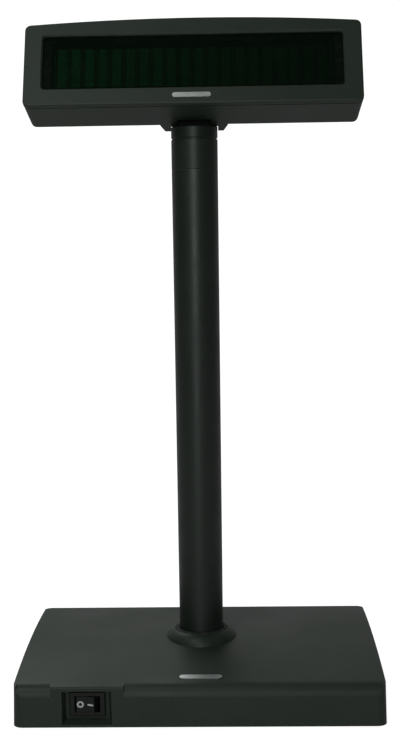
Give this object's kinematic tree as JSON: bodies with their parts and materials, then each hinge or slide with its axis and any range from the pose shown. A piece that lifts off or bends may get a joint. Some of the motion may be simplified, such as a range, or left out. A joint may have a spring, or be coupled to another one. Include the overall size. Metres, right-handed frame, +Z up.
{
  "type": "customer pole display",
  "caption": "Weighted box base with a power switch carries a tubular pole; on top a character display head swivels and tilts towards the customer.",
  "frame": {"origin": "middle of the object's bounding box in plan, at the underside of the rubber feet on the counter", "axes": "+X to the right seen from the customer's side, -Y towards the customer, +Z up along the pole"},
  "size_m": [0.215, 0.1394, 0.3993],
  "materials": {
    "case_plastic": "moulded ABS, fine matt texture, dark charcoal",
    "pole_paint": "fine-textured powder coat, dark charcoal",
    "neck_casting": "zinc die casting, textured dark paint on the collar, matt black above it",
    "bush_plastic": "acetal, satin",
    "zinc_steel": "zinc plated sheet steel",
    "ballast_iron": "dark oxide, lightly oiled",
    "black_rubber": "soft black rubber",
    "filter_acrylic": "dark smoke-green acrylic, polished",
    "tube_glass": "clear soda glass, polished",
    "tube_frit": "grey fired glass seal",
    "grid_metal": "etched steel mesh",
    "tube_phosphor": "powdery pale green phosphor",
    "tungsten_wire": "drawn tungsten wire",
    "tinned_metal": "tinned leads",
    "screw_steel": "zinc plated machine screws",
    "port_steel": "nickel plated pressed shell",
    "contact_gold": "gold plated contacts",
    "board_laminate": "green solder mask on glass laminate",
    "component_black": "moulded epoxy",
    "component_can": "drawn can",
    "header_nylon": "natural nylon",
    "switch_plastic": "black nylon, satin",
    "mark_white": "white print",
    "cable_jacket": "black PVC sheath",
    "lead_red": "red PVC insulation",
    "badge_silver": "plain pale satin foil badge"
  },
  "bodies": {
    "base": {"base_cover": "case_plastic", "pole_tube": "pole_paint", "pole_top_bush": "bush_plastic", "base_plate": "zinc_steel", "pole_flange": "zinc_steel", "board_standoffs": "zinc_steel", "ballast_plate": "ballast_iron", "rubber_feet": "black_rubber", "pole_foot_ring": "black_rubber", "chip_legs": "tinned_metal", "switch_terminals": "tinned_metal", "cover_screws": "screw_steel", "ballast_screws": "screw_steel", "flange_screws": "screw_steel", "board_screws": "screw_steel", "swivel_stop_screw": "screw_steel", "serial_port_shell": "port_steel", "jackscrews": "port_steel", "connector_contacts": "contact_gold", "interface_board": "board_laminate", "board_chips": "component_black", "serial_port_insert": "component_black", "power_jack": "component_black", "board_capacitors": "component_can", "wire_headers": "header_nylon", "switch_housing": "switch_plastic", "pole_cable": "cable_jacket", "switch_leads": "lead_red", "base_badge": "badge_silver"},
    "neck": {"neck": "neck_casting", "retaining_ring": "zinc_steel", "swivel_washer": "bush_plastic", "neck_cable": "cable_jacket"},
    "head": {"front_bezel": "case_plastic", "rear_cover": "case_plastic", "filter_window": "filter_acrylic", "display_gasket": "black_rubber", "tube_front_glass": "tube_glass", "tube_back_glass": "tube_glass", "tube_seal": "tube_frit", "tube_grids": "grid_metal", "tube_anodes": "tube_phosphor", "tube_filaments": "tungsten_wire", "tube_leads": "tinned_metal", "driver_board": "board_laminate", "driver_chips": "component_black", "driver_chip_legs": "tinned_metal", "driver_capacitors": "component_can", "driver_header": "header_nylon", "board_end_brackets": "zinc_steel", "inner_head_screws": "screw_steel", "hinge_bracket": "zinc_steel", "tilt_shaft": "screw_steel", "tilt_washers": "screw_steel", "tilt_nut": "screw_steel", "case_screws": "screw_steel", "head_cable": "cable_jacket", "head_badge": "badge_silver"},
    "rocker": {"switch_rocker": "switch_plastic", "switch_marks": "mark_white"}
  },
  "joints": [
    {"name": "head_swivel", "type": "hinge", "parent": "base", "child": "neck", "pos_m": [0, 0.0053, 0.332], "axis": [0, 0, 1], "range_deg": [-165, 165]},
    {"name": "head_tilt", "type": "hinge", "parent": "neck", "child": "head", "pos_m": [0, 0.0053, 0.356], "axis": [-1, 0, 0], "range_deg": [-27, 21]},
    {"name": "power_switch", "type": "hinge", "parent": "base", "child": "rocker", "pos_m": [-0.0644, -0.0603, 0.0144], "axis": [0, 0, 1], "range_deg": [0, 20]}
  ]
}
